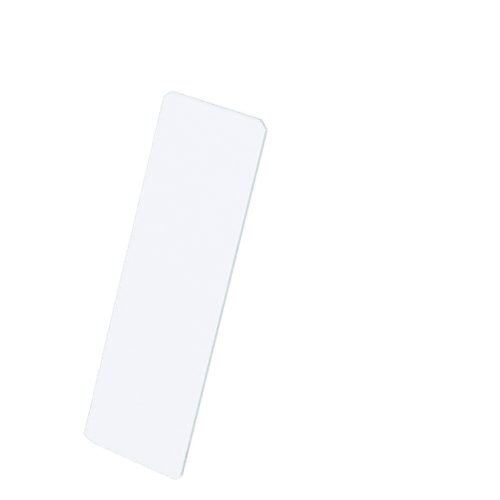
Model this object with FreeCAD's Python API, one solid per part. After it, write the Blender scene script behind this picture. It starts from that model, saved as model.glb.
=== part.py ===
import FreeCAD, Part
import os

# A plain microscope slide: one pane of sheet glass, lying on one of its two faces.
# Millimetres, +Z up. The origin is the middle of the face it lies on, and X runs along the slide.

# The pane
slide_length = 76.0
slide_width = 26.0
slide_thickness = 1.1

# Its corners, each with its point cut off by hand: for the corner on this side along X and along Y,
# the leg of the cut along the slide and the leg across it
corner_cuts = {
    (+1, +1): (1.5, 1.5),
    (-1, +1): (0.9, 2.4),
    (-1, -1): (1.3, 1.15),
    (+1, -1): (1.6, 1.9),
}
corner_ease_radius = 0.35  # rounds the two blunt angles that each corner cut leaves

# Its rims
arris_leg = 0.2  # each leg of the fine bevel ground round both faces


def corner_points(side_x, side_y, leg_along, leg_across):
    """The two ends of one corner's cut, counter-clockwise round the pane seen from above."""
    corner_x = side_x * slide_length / 2
    corner_y = side_y * slide_width / 2
    on_short_edge = FreeCAD.Vector(corner_x, corner_y - side_y * leg_across, 0)
    on_long_edge = FreeCAD.Vector(corner_x - side_x * leg_along, corner_y, 0)
    if side_x == side_y:
        return [on_short_edge, on_long_edge]
    return [on_long_edge, on_short_edge]


def cut_pane():
    """The pane as cut from the sheet, with its corners taken off."""
    points = []
    for (side_x, side_y), (leg_along, leg_across) in corner_cuts.items():
        points += corner_points(side_x, side_y, leg_along, leg_across)
    outline = Part.Face(Part.makePolygon(points + points[:1]))
    return outline.extrude(FreeCAD.Vector(0, 0, slide_thickness))


def is_upright(edge):
    return edge.BoundBox.ZLength > slide_thickness / 2


def ease_corners(pane):
    """Rounds the upright edges at both ends of every corner cut."""
    upright = [edge for edge in pane.Edges if is_upright(edge)]
    return pane.makeFillet(corner_ease_radius, upright)


def grind_arrises(pane):
    """Bevels the whole rim of the upper and the lower face."""
    rims = [edge for edge in pane.Edges if not is_upright(edge)]
    return pane.makeChamfer(arris_leg, rims)


def make_glass_slide():
    pane = grind_arrises(ease_corners(cut_pane()))
    return pane.Solids[0]


os.makedirs("parts", exist_ok=True)
glass_slide = make_glass_slide()
glass_slide.exportStep("parts/glass_slide.step")

bounds = glass_slide.BoundBox
print("glass_slide", glass_slide.ShapeType, "valid", glass_slide.isValid(), "solids", len(glass_slide.Solids))
print("size", round(bounds.XLength, 3), round(bounds.YLength, 3), round(bounds.ZLength, 3))
print("volume", round(glass_slide.Volume, 3), "faces", len(glass_slide.Faces))
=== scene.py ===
import math

import bmesh
import bpy
from mathutils import Matrix, Vector


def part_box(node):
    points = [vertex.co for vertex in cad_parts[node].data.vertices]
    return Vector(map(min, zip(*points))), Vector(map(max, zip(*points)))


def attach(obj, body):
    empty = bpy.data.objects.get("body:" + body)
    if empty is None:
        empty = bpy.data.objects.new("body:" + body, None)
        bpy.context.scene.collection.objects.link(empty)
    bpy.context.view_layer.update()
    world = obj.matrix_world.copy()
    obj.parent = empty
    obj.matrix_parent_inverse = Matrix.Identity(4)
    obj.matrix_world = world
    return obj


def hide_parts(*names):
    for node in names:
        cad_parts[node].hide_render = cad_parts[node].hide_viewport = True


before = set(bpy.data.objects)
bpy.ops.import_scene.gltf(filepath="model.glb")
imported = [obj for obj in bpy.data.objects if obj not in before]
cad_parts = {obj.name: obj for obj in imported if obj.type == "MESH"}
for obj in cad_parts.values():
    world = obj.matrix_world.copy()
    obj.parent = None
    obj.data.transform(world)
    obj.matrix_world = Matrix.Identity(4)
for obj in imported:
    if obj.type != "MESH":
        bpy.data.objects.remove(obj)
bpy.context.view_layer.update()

mm = 0.001
white = (1.0, 1.0, 1.0, 1.0)   # of the floor's lift and the studio

paneLow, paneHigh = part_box("glass_slide")
paneSize = paneHigh - paneLow
paneMiddle = (paneLow + paneHigh) / 2

# how the pane lies before the camera
cameraSettings = {
    "lens": 144.0,            # long, so that the pane's sides stay almost parallel
    "sensor": 36.0,
    "distance": 398.1 * mm,   # from the point it looks at
    "azimuth": 18.3,          # degrees from -Y towards +X
    "elevation": 56.9,
    "roll": -91.6,            # turns the frame so that the pane stands upright in it
    "aim": (12.51 * mm, -16.27 * mm),
}


def addObject(name, data):
    thing = bpy.data.objects.new(name, data)
    bpy.context.scene.collection.objects.link(thing)
    return thing


def makeCamera(settings):
    azimuth = math.radians(settings["azimuth"])
    elevation = math.radians(settings["elevation"])
    back = Vector((
        math.sin(azimuth) * math.cos(elevation),
        -math.cos(azimuth) * math.cos(elevation),
        math.sin(elevation),
    ))
    aim = Vector((*settings["aim"], paneHigh.z))
    lens = bpy.data.cameras.new("camera")
    lens.lens = settings["lens"]
    lens.sensor_width = settings["sensor"]
    camera = addObject("camera", lens)
    roll = Matrix.Rotation(math.radians(settings["roll"]), 3, "Z")
    turned = back.to_track_quat("Z", "Y").to_matrix() @ roll
    camera.matrix_world = Matrix.Translation(aim + back * settings["distance"]) @ turned.to_4x4()
    bpy.context.scene.camera = camera


makeCamera(cameraSettings)
print("camera placed")


class Wire:
    # one output socket; arithmetic on it adds Math nodes
    def __init__(self, shader, socket):
        self.shader = shader
        self.socket = socket

    def out(self, name):
        return Wire(self.shader, self.socket.node.outputs[name])

    def maths(self, operation, *values):
        settings = {"operation": operation}
        return self.shader.node("ShaderNodeMath", settings, dict(enumerate(values)))

    def __add__(self, other):
        return self.maths("ADD", self, other)

    def __sub__(self, other):
        return self.maths("SUBTRACT", self, other)

    def __rsub__(self, other):
        return self.maths("SUBTRACT", other, self)

    def __mul__(self, other):
        return self.maths("MULTIPLY", self, other)

    __radd__ = __add__
    __rmul__ = __mul__


class Shader:
    # the nodes of a material, or of the world
    def __init__(self, owner):
        owner.use_nodes = True
        self.owner = owner
        self.tree = owner.node_tree
        self.tree.nodes.clear()

    def node(self, kind, settings=None, sockets=None):
        node = self.tree.nodes.new(kind)
        for key, value in (settings or {}).items():
            setattr(node, key, value)
        for key, value in (sockets or {}).items():
            if isinstance(value, Wire):
                self.tree.links.new(value.socket, node.inputs[key])
            else:
                node.inputs[key].default_value = value
        return Wire(self, node.outputs[0]) if node.outputs else None

    def attribute(self, name):
        return self.node("ShaderNodeAttribute", {"attribute_name": name}).out("Fac")

    def mixColours(self, factor, first, second):
        # inputs 6 and 7 and output 2 are the Mix node's colour sockets
        sockets = {"Factor": factor, 6: first, 7: second}
        return self.node("ShaderNodeMix", {"data_type": "RGBA"}, sockets).out(2)

    def seenDirectly(self):
        # 1 for what the camera sees, straight on or through and in the glass
        path = self.node("ShaderNodeLightPath")
        viaGlass = path.maths("MAXIMUM", path.out("Is Glossy Ray"), path.out("Is Transmission Ray"))
        seen = path.maths("MAXIMUM", viaGlass, path.out("Is Camera Ray"))
        # but not the light that comes to the floor through the glass
        halfBounce = 0.5   # parts no bounce from one
        return seen * path.maths("LESS_THAN", path.out("Diffuse Depth"), halfBounce)


# the glass pane
paneSettings = {
    # legs of the cut across each corner, along the length and across the width
    "cornerCuts": {
        (1, 1): (1.5 * mm, 1.5 * mm),
        (-1, 1): (0.9 * mm, 2.4 * mm),
        (-1, -1): (1.3 * mm, 1.15 * mm),
        (1, -1): (1.6 * mm, 1.9 * mm),
    },
    "cornerEase": 0.35 * mm,  # radius that rounds the blunt angles beside each cut
    "easeSteps": 6,
    "arris": 0.2 * mm,        # leg of the fine bevel round both faces
    "arrisSteps": 3,
}

glassSettings = {
    "ior": 1.52,
    "faceTint": (0.907, 0.92, 0.951, 1.0),
    "markTintAndPaintedShade": (0.52, 0.605, 0.625, 1.0),    # in the marks that grinding left on the walls, darker still, over the painted shade of the edge
    "wallTintAndPaintedShade": (0.60, 0.685, 0.705, 1.0),    # and between them; this darker green is painted shade of the dark edge line, beside the glass's own green
    "arrisTint": (0.96, 0.97, 0.98, 1.0),
    "absorbed": (0.30, 0.77, 0.78, 1.0),      # what a long way through the glass leaves of white
    "density": 1.0,
    "edgeRoughness": 0.3,                     # of the walls and the bevels
    "markSwing": 0.12,                        # of that roughness, from mark to mark
    "markDetail": 2.0,
    "marksPerMetre": (300.0, 300.0, 4000.0),  # drawn out level, close together in height
}


def outlinePoints(cornerCuts):
    # two points a corner, going round from the +X +Y one
    points = []
    for (sideX, sideY), (alongX, alongY) in cornerCuts.items():
        cornerX = paneMiddle.x + sideX * paneSize.x / 2
        cornerY = paneMiddle.y + sideY * paneSize.y / 2
        onEnd = (cornerX, cornerY - sideY * alongY, paneLow.z)
        onSide = (cornerX - sideX * alongX, cornerY, paneLow.z)
        points += [onEnd, onSide] if sideX * sideY > 0 else [onSide, onEnd]
    return points


def isUpright(edge):
    return abs(edge.verts[0].co.z - edge.verts[1].co.z) > paneSize.z / 2


def looksAlong(face, axis):
    nearlyAll = 0.999   # of the normal's length
    return abs(getattr(face.normal, axis)) > nearlyAll


def bevelEdges(bm, edges, offset, segments):
    bmesh.ops.bevel(
        bm, geom=edges, affect="EDGES", offset=offset, offset_type="OFFSET",
        segments=segments, profile=0.5, material=-1,
    )


def makePane(settings):
    bm = bmesh.new()
    corners = [bm.verts.new(point) for point in outlinePoints(settings["cornerCuts"])]
    underside = bm.faces.new(corners)
    raised = bmesh.ops.extrude_face_region(bm, geom=[underside], use_keep_orig=True)
    lifted = [v for v in raised["geom"] if isinstance(v, bmesh.types.BMVert)]
    bmesh.ops.translate(bm, vec=(0, 0, paneSize.z), verts=lifted)
    bmesh.ops.recalc_face_normals(bm, faces=bm.faces)
    upright = [edge for edge in bm.edges if isUpright(edge)]
    turns = {edge: edge.calc_face_angle() for edge in upright}
    for edge, turn in turns.items():
        bevelEdges(bm, [edge], settings["cornerEase"] * math.tan(turn / 2), settings["easeSteps"])
    bm.normal_update()
    rims = [edge for edge in bm.edges if any(looksAlong(face, "z") for face in edge.link_faces)]
    bevelEdges(bm, rims, settings["arris"], settings["arrisSteps"])
    bm.normal_update()
    wall = bm.faces.layers.float.new("edgeWall")
    arris = bm.faces.layers.float.new("edgeArris")
    for face in bm.faces:
        isFace = looksAlong(face, "z")
        isWall = looksAlong(face, "x") or looksAlong(face, "y")
        face[wall] = 1.0 if isWall else 0.0
        face[arris] = 0.0 if isFace or isWall else 1.0
        face.smooth = False
    mesh = bpy.data.meshes.new("slidePane")
    bm.to_mesh(mesh)
    bm.free()
    return addObject("slidePane", mesh)


def grindingMarks(shader, settings):
    place = shader.node("ShaderNodeTexCoord").out("Object")
    drawnOut = shader.node("ShaderNodeMapping", None, {
        "Vector": place,
        "Scale": settings["marksPerMetre"],
    })
    return shader.node("ShaderNodeTexNoise", None, {
        "Vector": drawnOut,
        "Scale": 1.0,   # the mapping alone sets the marks' size
        "Detail": settings["markDetail"],
    })


def makeGlass(settings):
    shader = Shader(bpy.data.materials.new("clearGlass"))
    wall = shader.attribute("edgeWall")
    arris = shader.attribute("edgeArris")
    edge = wall + arris
    marks = grindingMarks(shader, settings)
    meanMark = 0.5   # the marks swing evenly about this
    # the walls get painted shade: a darker green base colour stands in for the dark edge line that
    # light running along inside the glass gives, and the grinding marks vary it
    tintWithPaintedEdgeShade = shader.mixColours(marks, settings["markTintAndPaintedShade"], settings["wallTintAndPaintedShade"])
    tintWithPaintedEdgeShade = shader.mixColours(wall, settings["faceTint"], tintWithPaintedEdgeShade)
    tintWithPaintedEdgeShade = shader.mixColours(arris, tintWithPaintedEdgeShade, settings["arrisTint"])
    rough = edge * (settings["edgeRoughness"] + (marks - meanMark) * settings["markSwing"])
    surface = shader.node("ShaderNodeBsdfPrincipled", None, {
        "Base Color": tintWithPaintedEdgeShade,
        "Roughness": rough,
        "IOR": settings["ior"],
        "Transmission Weight": 1.0,
    })
    volume = shader.node("ShaderNodeVolumeAbsorption", None, {
        "Color": settings["absorbed"],
        "Density": settings["density"],
    })
    shader.node("ShaderNodeOutputMaterial", None, {"Surface": surface, "Volume": volume})
    return shader.owner


pane = makePane(paneSettings)
pane.data.materials.append(makeGlass(glassSettings))
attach(pane, "root")
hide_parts("glass_slide")
print("pane made")

# floor, studio white and the one lamp
stageSettings = {
    "floorSide": 6.0,
    "floorGap": 0.05 * mm,    # between the floor and the pane
    "floorColour": (0.6, 0.6, 0.6, 1.0),
    "floorLift": 0.5,         # what the floor adds to its own shade where it is seen
    "worldLevel": 0.87,       # the light that the studio's white gives
    "lampPower": 0.35,
    "lampSize": (0.6, 0.45),
    "lampPlace": (0.25, -0.2, 0.5),
}


def makeFloor(settings):
    bm = bmesh.new()
    bmesh.ops.create_grid(bm, x_segments=1, y_segments=1, size=settings["floorSide"] / 2)
    bmesh.ops.translate(bm, vec=(0, 0, paneLow.z - settings["floorGap"]), verts=bm.verts)
    mesh = bpy.data.meshes.new("floor")
    bm.to_mesh(mesh)
    bm.free()
    floor = addObject("floor", mesh)
    shader = Shader(bpy.data.materials.new("floorWhite"))
    surface = shader.node("ShaderNodeBsdfPrincipled", None, {
        "Base Color": settings["floorColour"],
        "Roughness": 1.0,
        "Specular IOR Level": 0.0,
        "Emission Color": white,
        "Emission Strength": shader.seenDirectly() * settings["floorLift"],
    })
    shader.node("ShaderNodeOutputMaterial", None, {"Surface": surface})
    mesh.materials.append(shader.owner)


def makeWorld(settings):
    shader = Shader(bpy.data.worlds.new("studioWhite"))
    bpy.context.scene.world = shader.owner
    level = settings["worldLevel"]
    strength = level + shader.seenDirectly() * (1.0 - level)
    sky = shader.node("ShaderNodeBackground", None, {"Color": white, "Strength": strength})
    shader.node("ShaderNodeOutputWorld", None, {"Surface": sky})


def makeLamp(settings):
    panel = bpy.data.lights.new("lamp", "AREA")
    panel.shape = "RECTANGLE"
    panel.size, panel.size_y = settings["lampSize"]
    panel.energy = settings["lampPower"]
    lamp = addObject("lamp", panel)
    lamp.location = settings["lampPlace"]
    lamp.rotation_euler = lamp.location.to_track_quat("Z", "Y").to_euler()


makeFloor(stageSettings)
makeWorld(stageSettings)
makeLamp(stageSettings)
print("stage set")

# light runs along inside the pane from wall to wall, so it needs many bounces
mostBounces = 64
scene = bpy.context.scene
scene.view_settings.view_transform = "Standard"
scene.cycles.blur_glossy = 0.0
scene.cycles.max_bounces = mostBounces
scene.cycles.glossy_bounces = mostBounces
scene.cycles.transmission_bounces = mostBounces
scene.cycles.min_light_bounces = mostBounces  # no path ends early by chance
